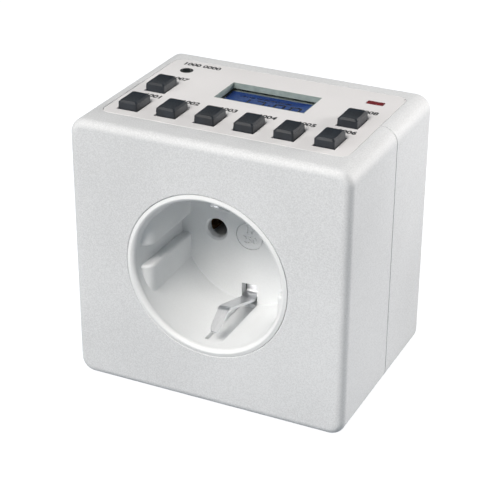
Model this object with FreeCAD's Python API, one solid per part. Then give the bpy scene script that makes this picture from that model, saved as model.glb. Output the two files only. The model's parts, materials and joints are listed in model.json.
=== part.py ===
import FreeCAD, Part
import math
import os

# Plug-in digital timer switch with an earthed two-pin socket in front and the matching plug behind.
# Millimetres. X runs across the front, Y from the socket towards the wall plug, Z up.
# The origin is under the middle of the whole part, on the surface it stands on.
# A depth is always measured from the front face towards the wall.

Vector = FreeCAD.Vector

# Casing: two half shells that meet at a seam behind the middle, with a tongue inside it
CASE_WIDTH = 74.0
CASE_HEIGHT = 71.0
CASE_DEPTH = 54.0
WALL = 2.4
CORNER_RADIUS = 4.0
FACE_RADIUS = 2.1
SEAM_DEPTH = 28.8
SEAM_GAP = 0.4
TONGUE = 1.6
SLIP = 0.1
COLLAR_WALL = 1.3
MOUTH_CHAMFER = 0.2
RIB_PLACES = (-24.0, 24.0)
RIB_SIZE = (1.4, 3.0)
RIB_SPAN = (14.0, 49.0)

# Screws that draw the rear half to the front one, and the pillars that clamp the board
SCREW_PLACES = [(-30.8, 6.2), (30.8, 6.2), (-30.8, 55.6), (30.8, 55.6)]
POST_RADIUS = 4.0
PILOT_RADIUS = 1.45
SHANK_RADIUS = 1.4
SHANK_HOLE_RADIUS = 1.7
HEAD_RADIUS = 2.7
HEAD_HOLE_RADIUS = 3.0
HEAD_SEAT = 44.0
HEAD_HEIGHT = 2.2
HEAD_ROUND = 0.8
SCREW_TIP = 16.0
TIP_RADIUS = 0.5
CROSS_SLOT = (3.4, 0.7, 1.2)
CLAMP_PLACES = [(0.0, 8.0), (-21.5, 55.0), (21.5, 55.0)]
CLAMP_RADIUS = 2.0

# Socket insert, a turned cup with what is cut into it and stands on it
AXIS_Z = 36.0
PIN_SPACING = 19.0
WELL_DEPTH = 25.0
WELL_FLOOR_RADIUS = 19.5
WELL_MOUTH_RADIUS = 19.9
INSERT_RADIUS = 21.6
FLANGE_RADIUS = 23.2
FLANGE_END = 4.4
FLOOR_THICKNESS = 2.5
LIP_PROUD = 0.2
LIP_WIDTH = 0.85
PAD_FLAT = 16.9
PAD_SETBACK = 3.2
PAD_HALF_SPAN = 14.0
PAD_NOSE_RADIUS = 2.6
PAD_EDGE_RADIUS = 0.7
KEYWAY_WIDTH = 5.5
CHANNEL_HALF = 2.4
CHANNEL_START = 4.0
CHANNEL_INNER = 15.0
CHANNEL_RADIUS = 20.8
SLOT_HALF = 2.2
SLOT_INNER = 13.9
PIN_HOLE_RADIUS = 2.75
HOLE_CHAMFER = 0.5
CENTRE_DISC_RADIUS = 3.9
DISC_GROOVE = 0.35
CHAMBER_HALF = (4.7, 4.6)
CHAMBER_WALL = 1.0
CHAMBER_END = 42.0
BOARD_REST = 13.4
BOARD_REST_RADIUS = 1.5

# Spring strips of the socket, as depths and distances from its axis
STRIP_WIDTH = 3.8
STRIP_THICKNESS = 0.7
CLIP_TIP = (4.2, 17.2)
CLIP_KNEE = (10.3, 13.2)
CLIP_ROOT_RADIUS = 17.4
CLIP_BENDS = [2.4, 1.5, 0.9]
CLIP_TIP_HALF = 1.35
CONTACT_THICKNESS = 0.5
CONTACT_WIDTH = 5.0
CONTACT_BACK = 45.6

# Plug body, its two pins and its earth leaves
BOSS_RADIUS = 18.3
BOSS_FLAT = 16.4
BOSS_LENGTH = 17.0
BOSS_WALL = 2.0
BOSS_FACE = 3.0
BOSS_CHAMFER = 0.8
PLUG_FLANGE_RADIUS = 20.6
PLUG_FLANGE_THICKNESS = 1.6
PLUG_PIN_RADIUS = 2.4
PLUG_PIN_LENGTH = 19.0
PIN_NOSE_RADIUS = 1.6
PIN_SEAT_RADIUS = 2.6
PIN_COLLAR_RADIUS = 3.6
PIN_COLLAR_THICKNESS = 2.0
PIN_TAIL_RADIUS = 1.5
PIN_TAIL = 59.0
CARRIER_THICKNESS = 3.0
EARTH_LEAF_HALF = 2.9
EARTH_LEAF_START = 56.5
EARTH_LEAF_END = 68.5
EARTH_LEAF_THICKNESS = 0.8
EARTH_LEAF_INSET = 0.2
EARTH_POCKET_DEPTH = 4.0
EARTH_WEB_DEPTH = 61.0
EARTH_WEB_HALF = 2.2

# Control panel on top, from its front edge to its rear one
PANEL_HALF_WIDTH = 32.5
PANEL_FRONT = 7.5
PANEL_REAR = 48.7
PANEL_CORNER = 2.6
PANEL_THICKNESS = 1.2
PANEL_EDGE_RADIUS = 0.15
PANEL_GAP = 0.1
LEDGE = 2.0
PRY_NOTCH = 0.9
HOOK_PLACES = (20.9, 36.0)
HOOK_WIDTH = 3.2
STAND_RADIUS = 1.6
STAND_SCREW_RADIUS = 0.8

# Keys, six in a row and two behind its ends
KEY_PITCH = 10.4
KEY_WIDTH = 5.4
KEY_LENGTH = 7.5
KEY_PROUD = 2.2
KEY_GAP = 0.2
KEY_CORNER = 0.5
KEY_CHAMFER = 0.5
KEY_DRAFT = 0.12
KEY_DISH_RADIUS = 40.0
KEY_DISH_DEPTH = 0.1
KEY_RIM = 0.6
KEY_STEM_HALF = 1.2
KEY_TRAVEL = 0.5
FIRST_KEY_X = -26.6
FRONT_ROW = 14.4
REAR_ROW = 28.0
REAR_KEY_SHIFT = 0.2
RESET_X = -26.2
RESET_DEPTH = 41.4
RESET_HOLE_RADIUS = 1.35
RESET_TOP = 70.7

# Display, its window and the signal lamp
LCD_X = 0.7
LCD_DEPTH = 33.5
LCD_WINDOW = (24.6, 11.5)
WINDOW_OVERLAP = 1.4
WINDOW_RIB = 0.3
PANE_THICKNESS = 0.8
LCD_GLASS = (30.0, 16.0)
GLASS_THICKNESS = 2.2
GLASS_STEP = 1.5
FRAME_RIM = 1.2
FRAME_ROOM = 0.1
SHELF_HALF = 4.5
CONTACT_STRIP_HALF = 1.1
LED_X = 26.2
LED_DEPTH = 41.8
LED_SIZE = (4.4, 2.1)
LED_FOOT = 0.5

# Boards and what stands on them
BOARD_THICKNESS = 1.6
DISPLAY_BOARD_TOP = 62.0
STAND_PLACES = [(-21.4, FRONT_ROW), (20.2, FRONT_ROW), (-18.6, 43.4), (19.4, 43.4)]
TACT_SIZE = 6.0
TACT_HEIGHT = 3.5
TACT_FLOOR = 1.0
PLUNGER_RADIUS = 1.7
PLUNGER_TOP = 66.8
MAIN_BOARD_DEPTH = 30.0
MAIN_BOARD_HALF = 26.4
MAIN_BOARD_SPAN = (3.0, 58.4)
BOARD_WINDOW_HALF = (15.2, 6.5)
RELAY_X = (11.7, 26.5)
RELAY_Z = (2.7, 17.3)
RELAY_FRONT = 12.0
RELAY_WALL = 0.8
RELAY_BASE = 2.4
COIL_LENGTH = 10.0
COIL_CENTRE_HEIGHT = 6.0
COIL_RADIUS = 3.6
BOBBIN_RADIUS = 4.4
CORE_RADIUS = 1.45
CAPACITOR_FRONT = 16.0
CELL_SIZE = (5.7, 5.4)
CAN_SIZE = (4.0, 11.5)
VARISTOR_SIZE = (5.0, 4.0)
WIRE_RADIUS = 0.9
WIRE_BEND = 1.8

# What follows from the sizes above
TOTAL_DEPTH = LIP_PROUD + CASE_DEPTH + BOSS_LENGTH + PLUG_PIN_LENGTH
FRONT_Y = LIP_PROUD - TOTAL_DEPTH / 2
PANEL_TOP = CASE_HEIGHT
PANEL_BOTTOM = PANEL_TOP - PANEL_THICKNESS
GLASS_TOP = PANEL_BOTTOM - WINDOW_RIB - PANE_THICKNESS - 0.1
FLOOR_BACK = WELL_DEPTH + FLOOR_THICKNESS
BOSS_END = CASE_DEPTH + BOSS_LENGTH
DISPLAY_BOARD_UNDER = DISPLAY_BOARD_TOP - BOARD_THICKNESS
MAIN_BOARD_BACK = MAIN_BOARD_DEPTH + BOARD_THICKNESS

# Far enough past any face for a cutter to come out of it
BEYOND = 1.0
SAME = 1e-4


def at(depth):
    # Y of a plane that lies this far behind the front face.
    return FRONT_Y + depth


def block(x0, x1, d0, d1, z0, z1):
    # Box between two X values, two depths behind the front face and two heights.
    return Part.makeBox(x1 - x0, d1 - d0, z1 - z0, Vector(x0, at(d0), z0))


def rod(radius, d0, d1, x, z):
    # Cylinder along Y.
    return Part.makeCylinder(radius, d1 - d0, Vector(x, at(d0), z), Vector(0, 1, 0))


def post(radius, z0, z1, x, depth):
    # Cylinder along Z.
    return Part.makeCylinder(radius, z1 - z0, Vector(x, at(depth), z0), Vector(0, 0, 1))


def rounded_prism(x0, x1, d0, d1, z0, z1, radius, axis):
    # Box whose four edges along one axis are rounded.
    shape = block(x0, x1, d0, d1, z0, z1)
    direction = Vector(*axis)
    edges = [e for e in shape.Edges if abs(abs(e.tangentAt(e.FirstParameter).dot(direction)) - 1) < 1e-6]
    return shape.makeFillet(radius, edges)


def ring_edges(shape, depth):
    # Every edge that lies wholly at this depth.
    y = at(depth)
    return [e for e in shape.Edges if abs(e.BoundBox.YMin - y) < SAME and abs(e.BoundBox.YMax - y) < SAME]


def edges_above(shape, z):
    # Every edge that lies wholly at this height or over it.
    return [e for e in shape.Edges if e.BoundBox.ZMin > z - SAME]


def span(side, near, far):
    # The two ends, in rising order, of a stretch from near to far on one side of zero.
    return sorted((side * near, side * far))


def fuse_all(shapes):
    whole = shapes[0]
    for shape in shapes[1:]:
        whole = whole.fuse(shape)
    return whole.removeSplitter()


def save(name, shape):
    os.makedirs("parts", exist_ok=True)
    if not shape.isValid():
        print("not valid:", name)
    shape.exportStep("parts/" + name + ".step")
    print(name, "solids", len(shape.Solids), "volume", round(shape.Volume, 1))


def group(shapes):
    return Part.makeCompound(shapes)


def bent_path(points, radii):
    # Straight runs through the points, joined by tangent arcs of one radius or of one each.
    if not isinstance(radii, list):
        radii = [radii] * (len(points) - 2)
    edges = []
    start = points[0]
    for before, corner, after, radius in zip(points, points[1:], points[2:], radii):
        a = (before - corner).normalize()
        b = (after - corner).normalize()
        half = a.getAngle(b) / 2
        reach = radius / math.tan(half)
        first = corner + a * reach
        last = corner + b * reach
        middle = corner + (a + b).normalize() * (radius / math.sin(half) - radius)
        edges.append(Part.LineSegment(start, first).toShape())
        edges.append(Part.Arc(first, middle, last).toShape())
        start = last
    edges.append(Part.LineSegment(start, points[-1]).toShape())
    return Part.Wire(edges)


def strip(points, radii, thickness, width, across):
    # Sheet metal strip bent in one plane, centred on that plane.
    face = bent_path(points, radii).makeOffset2D(thickness, 0, True, True)
    across = Vector(*across)
    solid = face.extrude(across * width)
    solid.translate(across * (-width / 2))
    return solid


def casing_block(inset):
    # The whole casing's outside, or the same form drawn in by a wall.
    radius = max(CORNER_RADIUS - inset, 1.0)
    shape = rounded_prism(-CASE_WIDTH / 2 + inset, CASE_WIDTH / 2 - inset, inset, CASE_DEPTH - inset,
                          inset, CASE_HEIGHT - inset, radius, (0, 1, 0))
    edges = ring_edges(shape, inset) + ring_edges(shape, CASE_DEPTH - inset)
    return shape.makeFillet(max(FACE_RADIUS - inset, 0.5), edges)


def casing_slice(inset, d0, d1):
    # Straight slice of the casing section, for the tongue along the seam.
    return rounded_prism(-CASE_WIDTH / 2 + inset, CASE_WIDTH / 2 - inset, d0, d1,
                         inset, CASE_HEIGHT - inset, CORNER_RADIUS - inset, (0, 1, 0))


def panel_cutters():
    # Recess that takes the panel, and the opening inside its ledge.
    half = PANEL_HALF_WIDTH + PANEL_GAP
    recess = rounded_prism(-half, half, PANEL_FRONT - PANEL_GAP, PANEL_REAR + PANEL_GAP,
                           PANEL_BOTTOM, CASE_HEIGHT + 5, PANEL_CORNER, (0, 0, 1))
    half = PANEL_HALF_WIDTH - LEDGE
    opening = rounded_prism(-half, half, PANEL_FRONT + LEDGE, PANEL_REAR - LEDGE,
                            CASE_HEIGHT - WALL - 1, CASE_HEIGHT + 5, 1.0, (0, 0, 1))
    return [recess, opening]


def front_housing():
    # Front half shell, with screw posts, board clamps and a collar round the socket insert.
    shell = casing_block(0).cut(casing_block(WALL))
    shell = shell.common(block(-CASE_WIDTH, CASE_WIDTH, -BEYOND, SEAM_DEPTH - SEAM_GAP / 2,
                               -BEYOND, CASE_HEIGHT + BEYOND))
    posts = [rod(POST_RADIUS, WALL / 2, SEAM_DEPTH, x, z) for x, z in SCREW_PLACES]
    clamps = [rod(CLAMP_RADIUS, WALL / 2, MAIN_BOARD_DEPTH, x, z) for x, z in CLAMP_PLACES]
    inside = casing_block(WALL / 2)
    collar_end = FLANGE_END + 2.0
    collar = rod(FLANGE_RADIUS + SLIP + COLLAR_WALL, WALL / 2, collar_end, 0, AXIS_Z)
    collar = collar.cut(rod(FLANGE_RADIUS + SLIP, 0, collar_end + BEYOND, 0, AXIS_Z))
    shell = fuse_all([shell, collar] + [p.common(inside) for p in posts + clamps])
    tongue_room = casing_slice(WALL / 2, SEAM_DEPTH - TONGUE - SLIP, SEAM_DEPTH)
    shell = shell.cut(tongue_room.cut(casing_slice(WALL, SEAM_DEPTH - TONGUE - SLIP, SEAM_DEPTH)))
    shell = shell.cut(rod(INSERT_RADIUS + SLIP, -BEYOND, WALL + BEYOND, 0, AXIS_Z))
    mouth = [e for e in ring_edges(shell, 0) if abs(e.BoundBox.XMax - INSERT_RADIUS - SLIP) < 1e-3]
    shell = shell.makeChamfer(MOUTH_CHAMFER, mouth)
    for x, z in SCREW_PLACES:
        shell = shell.cut(rod(PILOT_RADIUS, SCREW_TIP - BEYOND, SEAM_DEPTH + BEYOND, x, z))
    for cutter in panel_cutters():
        shell = shell.cut(cutter)
    return shell


def rear_housing():
    # Rear half shell, with the tongue, screw posts, board clamps and two stiffening ribs.
    rear = CASE_DEPTH
    shell = casing_block(0).cut(casing_block(WALL))
    shell = shell.common(block(-CASE_WIDTH, CASE_WIDTH, SEAM_DEPTH + SEAM_GAP / 2, rear + BEYOND,
                               -BEYOND, CASE_HEIGHT + BEYOND))
    tongue_root = SEAM_DEPTH + 2.0
    tongue = casing_slice(WALL / 2 + SLIP, SEAM_DEPTH - TONGUE, tongue_root)
    tongue = tongue.cut(casing_slice(WALL, SEAM_DEPTH - TONGUE - BEYOND, tongue_root + BEYOND))
    for x, z in SCREW_PLACES:
        tongue = tongue.cut(rod(POST_RADIUS + SLIP, SEAM_DEPTH - TONGUE - BEYOND, SEAM_DEPTH, x, z))
    posts = [rod(POST_RADIUS, SEAM_DEPTH, rear - WALL / 2, x, z) for x, z in SCREW_PLACES]
    clamps = [rod(CLAMP_RADIUS, MAIN_BOARD_BACK, rear - WALL / 2, x, z) for x, z in CLAMP_PLACES]
    rib_width, rib_height = RIB_SIZE
    ribs = [block(x - rib_width / 2, x + rib_width / 2, rear - WALL - rib_height, rear - WALL / 2, *RIB_SPAN)
            for x in RIB_PLACES]
    inside = casing_block(WALL / 2)
    shell = fuse_all([shell, tongue] + [p.common(inside) for p in posts + clamps + ribs])
    shell = shell.cut(boss_section(-SLIP, rear - WALL - BEYOND, rear + BEYOND))
    for x, z in SCREW_PLACES:
        shell = shell.cut(rod(HEAD_HOLE_RADIUS, HEAD_SEAT, rear + BEYOND, x, z))
        shell = shell.cut(rod(SHANK_HOLE_RADIUS, SEAM_DEPTH - BEYOND, HEAD_SEAT + BEYOND, x, z))
    for cutter in panel_cutters():
        shell = shell.cut(cutter)
    return shell


def boss_section(inset, d0, d1):
    # Round plug body with two flats beside the pins, drawn in by a wall.
    flat = BOSS_FLAT - inset
    body = rod(BOSS_RADIUS - inset, d0, d1, 0, AXIS_Z)
    return body.common(block(-flat, flat, d0, d1, 0, CASE_HEIGHT))


def plug_body():
    # Hollow plug body with a flange that bears on the inside of the rear wall.
    inner_face = CASE_DEPTH - WALL
    start = inner_face - PLUG_FLANGE_THICKNESS
    body = boss_section(0, start, BOSS_END)
    body = body.makeChamfer(BOSS_CHAMFER, ring_edges(body, BOSS_END))
    flange = rod(PLUG_FLANGE_RADIUS, start, inner_face, 0, AXIS_Z)
    body = body.fuse(flange).removeSplitter()
    body = body.cut(boss_section(BOSS_WALL, start - BEYOND, BOSS_END - BOSS_FACE))
    for side in (-1, 1):
        body = body.cut(rod(PIN_SEAT_RADIUS + SLIP / 2, CASE_DEPTH, BOSS_END + BEYOND,
                            side * PIN_SPACING / 2, AXIS_Z))
        z0, z1 = span(side, BOSS_RADIUS - EARTH_POCKET_DEPTH, BOSS_RADIUS)
        body = body.cut(block(-EARTH_LEAF_HALF - SLIP, EARTH_LEAF_HALF + SLIP, EARTH_LEAF_START - SLIP,
                              EARTH_LEAF_END + SLIP, AXIS_Z + z0, AXIS_Z + z1))
    return body


def housing_screw(x, z):
    # Pan head with a cross slot, shank and short cone tip.
    crown = HEAD_SEAT + HEAD_HEIGHT
    head = rod(HEAD_RADIUS, HEAD_SEAT, crown, x, z)
    head = head.makeFillet(HEAD_ROUND, ring_edges(head, crown))
    tip_length = 1.0
    shank = rod(SHANK_RADIUS, SCREW_TIP + tip_length, HEAD_SEAT, x, z)
    tip = Part.makeCone(TIP_RADIUS, SHANK_RADIUS, tip_length, Vector(x, at(SCREW_TIP), z), Vector(0, 1, 0))
    reach, across, deep = CROSS_SLOT[0] / 2, CROSS_SLOT[1] / 2, CROSS_SLOT[2]
    cross = block(x - reach, x + reach, crown - deep, crown + BEYOND, z - across, z + across)
    cross = cross.fuse(block(x - across, x + across, crown - deep, crown + BEYOND, z - reach, z + reach))
    return fuse_all([head, shank, tip]).cut(cross)


def key_places():
    # Six keys in the front row and one behind each end of it, numbered from the left.
    front = [(FIRST_KEY_X + KEY_PITCH * n, FRONT_ROW) for n in range(6)]
    rear = [(x + REAR_KEY_SHIFT, REAR_ROW) for x in (front[0][0], front[-1][0])]
    return front + rear


def around(x, depth, width, length, margin, z0, z1):
    # Box round a place on the panel, wider than a given size by a margin on every side.
    return block(x - width / 2 - margin, x + width / 2 + margin, depth - length / 2 - margin,
                 depth + length / 2 + margin, z0, z1)


def top_panel():
    # Plate with its openings, the rib that frames the window, stands for the board and snap hooks.
    below = PANEL_BOTTOM - BEYOND
    above = PANEL_TOP + BEYOND
    plate = rounded_prism(-PANEL_HALF_WIDTH, PANEL_HALF_WIDTH, PANEL_FRONT, PANEL_REAR,
                          PANEL_BOTTOM, PANEL_TOP, PANEL_CORNER, (0, 0, 1))
    plate = plate.makeFillet(PANEL_EDGE_RADIUS, edges_above(plate, PANEL_TOP))
    rib = around(LCD_X, LCD_DEPTH, *LCD_WINDOW, WINDOW_OVERLAP, PANEL_BOTTOM - WINDOW_RIB, PANEL_BOTTOM)
    stands = [post(STAND_RADIUS, DISPLAY_BOARD_TOP, PANEL_BOTTOM, x, d) for x, d in STAND_PLACES]
    plate = fuse_all([plate, rib] + stands + snap_hooks())
    plate = plate.cut(around(LCD_X, LCD_DEPTH, *LCD_WINDOW, 0, below, above))
    for x, depth in key_places():
        plate = plate.cut(around(x, depth, KEY_WIDTH, KEY_LENGTH, KEY_GAP, below, above))
    plate = plate.cut(post(RESET_HOLE_RADIUS, below, above, RESET_X, RESET_DEPTH))
    plate = plate.cut(around(LED_X, LED_DEPTH, *LED_SIZE, SLIP, below, above))
    # Notch in the right edge, near the rear corner, for prying the panel off
    plate = plate.cut(block(PANEL_HALF_WIDTH - PRY_NOTCH, CASE_WIDTH, PANEL_REAR - 2 * PRY_NOTCH,
                            PANEL_REAR - PRY_NOTCH, PANEL_TOP - PRY_NOTCH + 0.1, above))
    for x, depth in STAND_PLACES:
        plate = plate.cut(post(STAND_SCREW_RADIUS + SLIP / 2, DISPLAY_BOARD_TOP - BEYOND, below, x, depth))
    return plate


def snap_hooks():
    # Legs that catch under the ledge on both sides.
    face = PANEL_HALF_WIDTH - LEDGE - SLIP
    root = PANEL_BOTTOM + 0.2
    under = CASE_HEIGHT - WALL - SLIP
    thickness = 1.0
    catch = 0.6
    nose = 1.4
    section = [(face, root), (face, under), (face + catch, under), (face - 0.2, under - nose),
               (face - thickness, under - nose), (face - thickness, root), (face, root)]
    hooks = []
    for depth in HOOK_PLACES:
        outline = [Vector(x, at(depth - HOOK_WIDTH / 2), z) for x, z in section]
        hook = Part.Face(Part.makePolygon(outline)).extrude(Vector(0, HOOK_WIDTH, 0))
        hooks.append(hook)
        hooks.append(hook.mirror(Vector(0, 0, 0), Vector(1, 0, 0)))
    return hooks


def display_window():
    top = PANEL_BOTTOM - WINDOW_RIB
    return around(LCD_X, LCD_DEPTH, *LCD_WINDOW, WINDOW_OVERLAP, top - PANE_THICKNESS, top)


def lcd_panel():
    # Two sheets of glass, the lower one longer front to rear for its contacts.
    width, length = LCD_GLASS
    middle = GLASS_TOP - GLASS_THICKNESS / 2
    lower = around(LCD_X, LCD_DEPTH, width, length, 0, GLASS_TOP - GLASS_THICKNESS, middle)
    upper = around(LCD_X, LCD_DEPTH, width, length - 2 * GLASS_STEP, 0, middle, GLASS_TOP)
    return lower.fuse(upper)


def lcd_frame():
    # Frame round the glass and the shelf under it.
    width, length = LCD_GLASS
    half_width = width / 2 + FRAME_ROOM + FRAME_RIM
    half_length = length / 2 + FRAME_ROOM + FRAME_RIM
    outer = rounded_prism(LCD_X - half_width, LCD_X + half_width, LCD_DEPTH - half_length,
                          LCD_DEPTH + half_length, DISPLAY_BOARD_TOP, GLASS_TOP - 0.4, 1.0, (0, 0, 1))
    inner = around(LCD_X, LCD_DEPTH, width, length, FRAME_ROOM, DISPLAY_BOARD_TOP - BEYOND,
                   GLASS_TOP + BEYOND)
    glass_under = GLASS_TOP - GLASS_THICKNESS
    shelf = block(LCD_X - width / 2 - FRAME_ROOM, LCD_X + width / 2 + FRAME_ROOM, LCD_DEPTH - SHELF_HALF,
                  LCD_DEPTH + SHELF_HALF, glass_under - FRAME_RIM, glass_under)
    return fuse_all([outer.cut(inner), shelf])


def contact_strips():
    # Elastomer strips that join the glass to the display board, front and rear.
    width, length = LCD_GLASS
    strips = []
    for side in (-1, 1):
        middle = LCD_DEPTH + side * (length / 2 - 1.4)
        strips.append(around(LCD_X, middle, width - 1.0, 2 * CONTACT_STRIP_HALF, 0, DISPLAY_BOARD_TOP,
                             GLASS_TOP - GLASS_THICKNESS))
    return group(strips)


def display_board():
    half = PANEL_HALF_WIDTH - LEDGE - 0.4
    board = rounded_prism(-half, half, PANEL_FRONT + LEDGE + 0.3, PANEL_REAR - LEDGE - 0.3,
                          DISPLAY_BOARD_UNDER, DISPLAY_BOARD_TOP, 1.0, (0, 0, 1))
    for x, depth in STAND_PLACES:
        board = board.cut(post(STAND_SCREW_RADIUS + 2 * SLIP, DISPLAY_BOARD_UNDER - BEYOND,
                               DISPLAY_BOARD_TOP + BEYOND, x, depth))
    return board


def board_screws():
    # Slotted screws that hold the display board under the panel's stands.
    screws = []
    head_radius = 1.7
    head_height = 1.1
    shank_top = DISPLAY_BOARD_TOP + 4.5
    for x, depth in STAND_PLACES:
        crown = DISPLAY_BOARD_UNDER - head_height
        head = post(head_radius, crown, DISPLAY_BOARD_UNDER, x, depth)
        shank = post(STAND_SCREW_RADIUS, DISPLAY_BOARD_UNDER, shank_top, x, depth)
        slot = around(x, depth, 4.0, 0.4, 0, crown - SLIP, crown + 0.5)
        screws.append(head.fuse(shank).cut(slot))
    return group(screws)


def tact_body(x, depth):
    top = DISPLAY_BOARD_TOP + TACT_HEIGHT
    body = around(x, depth, TACT_SIZE, TACT_SIZE, 0, DISPLAY_BOARD_TOP, top)
    body = body.makeChamfer(0.4, edges_above(body, top))
    return body.cut(post(PLUNGER_RADIUS + SLIP, DISPLAY_BOARD_TOP + TACT_FLOOR, top + BEYOND, x, depth))


def tact_plunger(x, depth):
    # Plunger that stands clear of the switch's floor by twice the key's travel.
    return post(PLUNGER_RADIUS, DISPLAY_BOARD_TOP + TACT_FLOOR + 2 * KEY_TRAVEL, PLUNGER_TOP, x, depth)


def key_outline(x, depth, inset, z):
    # Rounded rectangle round a key at one height.
    half_x = KEY_WIDTH / 2 - inset
    half_y = KEY_LENGTH / 2 - inset
    straight_x = half_x - KEY_CORNER
    straight_y = half_y - KEY_CORNER
    diagonal = KEY_CORNER * math.sqrt(0.5)
    y = at(depth)
    arcs = []
    for sx, sy in ((1, -1), (1, 1), (-1, 1), (-1, -1)):
        start = Vector(x + sx * half_x, y + sy * straight_y, z)
        end = Vector(x + sx * straight_x, y + sy * half_y, z)
        if sx * sy < 0:
            start, end = end, start
        middle = Vector(x + sx * (straight_x + diagonal), y + sy * (straight_y + diagonal), z)
        arcs.append((start, middle, end))
    edges = []
    for (start, middle, end), (following, _, _) in zip(arcs, arcs[1:] + arcs[:1]):
        edges.append(Part.Arc(start, middle, end).toShape())
        edges.append(Part.LineSegment(end, following).toShape())
    return Part.Wire(edges)


def key(x, depth):
    # Cap with chamfered shoulders and a faintly dished top, a rim under the panel and a stem on the switch.
    top = PANEL_TOP + KEY_PROUD
    shoulder = top - KEY_CHAMFER
    rim_top = PANEL_BOTTOM - SLIP / 2
    rim_thickness = 0.8
    sections = [(0.0, rim_top - rim_thickness / 2), (KEY_DRAFT, shoulder), (KEY_DRAFT + KEY_CHAMFER, top)]
    cap = Part.makeLoft([key_outline(x, depth, inset, z) for inset, z in sections], True, True)
    hollow = Vector(x - KEY_WIDTH, at(depth), top + KEY_DISH_RADIUS - KEY_DISH_DEPTH)
    cap = cap.cut(Part.makeCylinder(KEY_DISH_RADIUS, 2 * KEY_WIDTH, hollow, Vector(1, 0, 0)))
    rim = around(x, depth, KEY_WIDTH, KEY_LENGTH, KEY_RIM, rim_top - rim_thickness, rim_top)
    stem = around(x, depth, 2 * KEY_STEM_HALF, 2 * KEY_STEM_HALF, 0, PLUNGER_TOP, rim_top)
    return fuse_all([cap, rim, stem])


def reset_plunger():
    # Switch plunger with a pin that ends just inside the hole in the panel.
    foot = tact_plunger(RESET_X, RESET_DEPTH)
    pin = post(RESET_HOLE_RADIUS - SLIP, PLUNGER_TOP, RESET_TOP, RESET_X, RESET_DEPTH)
    return fuse_all([foot, pin])


def status_led():
    width, length = LED_SIZE
    lens = rounded_prism(LED_X - width / 2, LED_X + width / 2, LED_DEPTH - length / 2, LED_DEPTH + length / 2,
                         DISPLAY_BOARD_TOP, PANEL_TOP, 0.2, (0, 0, 1))
    foot = around(LED_X, LED_DEPTH, width, length, LED_FOOT, DISPLAY_BOARD_TOP, DISPLAY_BOARD_TOP + 1.0)
    return lens.fuse(foot)


def under_display_board():
    # Controller chip and the quartz crystal that keeps the time.
    under = DISPLAY_BOARD_UNDER
    chip_size = 12.0
    chip_height = 1.4
    chip = around(0, 26.0, chip_size, chip_size, 0, under - chip_height, under)
    chip = chip.makeChamfer(0.3, [e for e in chip.Edges if e.BoundBox.ZMax < under - chip_height + SAME])
    can_radius = 1.5
    can_length = 8.0
    crystal = Part.makeCylinder(can_radius, can_length, Vector(10, at(24), under - can_radius),
                                Vector(1, 0, 0))
    return chip, crystal


def insert_blank():
    # Turned form of the socket cup: rounded lip, straight outside, slightly drafted well.
    profile = [Vector(INSERT_RADIUS, 0, 0), Vector(INSERT_RADIUS, 0, WALL + SLIP),
                     Vector(FLANGE_RADIUS, 0, WALL + SLIP), Vector(FLANGE_RADIUS, 0, FLANGE_END),
                     Vector(INSERT_RADIUS, 0, FLANGE_END), Vector(INSERT_RADIUS, 0, FLOOR_BACK),
                     Vector(0, 0, FLOOR_BACK), Vector(0, 0, WELL_DEPTH),
                     Vector(WELL_FLOOR_RADIUS, 0, WELL_DEPTH), Vector(WELL_MOUTH_RADIUS, 0, LIP_WIDTH + 0.6)]
    edges = [Part.LineSegment(a, b).toShape() for a, b in zip(profile, profile[1:])]
    start = profile[-1]
    crest = Vector(WELL_MOUTH_RADIUS + LIP_WIDTH, 0, -LIP_PROUD)
    through = Vector(WELL_MOUTH_RADIUS + 0.22, 0, 0.2)
    edges.append(Part.Arc(start, through, crest).toShape())
    edges.append(Part.LineSegment(crest, profile[0]).toShape())
    face = Part.Face(Part.Wire(edges))
    solid = face.revolve(Vector(0, 0, 0), Vector(0, 0, 1), 360)
    solid.rotate(Vector(0, 0, 0), Vector(1, 0, 0), -90)
    solid.translate(Vector(0, FRONT_Y, AXIS_Z))
    return solid


def pads():
    # Flats beside the pin holes, each parted by a keyway and rounded where the plug comes in.
    both = []
    root = WELL_DEPTH + FLOOR_THICKNESS / 5
    inside_wall = rod(WELL_FLOOR_RADIUS + 0.9, PAD_SETBACK, root, 0, AXIS_Z)
    for side in (-1, 1):
        x0, x1 = span(side, PAD_FLAT, WELL_FLOOR_RADIUS + 2)
        for up in (-1, 1):
            z0, z1 = span(up, KEYWAY_WIDTH / 2, PAD_HALF_SPAN)
            pad = block(x0, x1, PAD_SETBACK, root, AXIS_Z + z0, AXIS_Z + z1)
            face = side * PAD_FLAT
            nose = [e for e in ring_edges(pad, PAD_SETBACK)
                    if abs(e.BoundBox.XMin - face) < SAME and e.BoundBox.XLength < SAME]
            pad = pad.makeFillet(PAD_NOSE_RADIUS, nose)
            beside_keyway = [e for e in pad.Edges
                             if abs(e.BoundBox.XMin - face) < SAME and e.BoundBox.XLength < SAME
                             and abs(abs(e.BoundBox.ZMin - AXIS_Z) - KEYWAY_WIDTH / 2) < SAME
                             and e.BoundBox.ZLength < SAME]
            pad = pad.makeFillet(PAD_EDGE_RADIUS, beside_keyway)
            both.append(pad.common(inside_wall))
    return both


def contact_chambers():
    # Walls of the two chambers behind the floor that hold the spring contacts, and the room in them.
    walls = []
    rooms = []
    half_x, half_z = CHAMBER_HALF
    for side in (-1, 1):
        x = side * PIN_SPACING / 2
        walls.append(rounded_prism(x - half_x, x + half_x, FLOOR_BACK - 0.2, CHAMBER_END,
                                   AXIS_Z - half_z, AXIS_Z + half_z, 1.0, (0, 1, 0)))
        room_x = half_x - CHAMBER_WALL
        room_z = half_z - CHAMBER_WALL
        rooms.append(block(x - room_x, x + room_x, FLOOR_BACK, CHAMBER_END + BEYOND,
                           AXIS_Z - room_z, AXIS_Z + room_z))
    return walls, rooms


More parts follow.
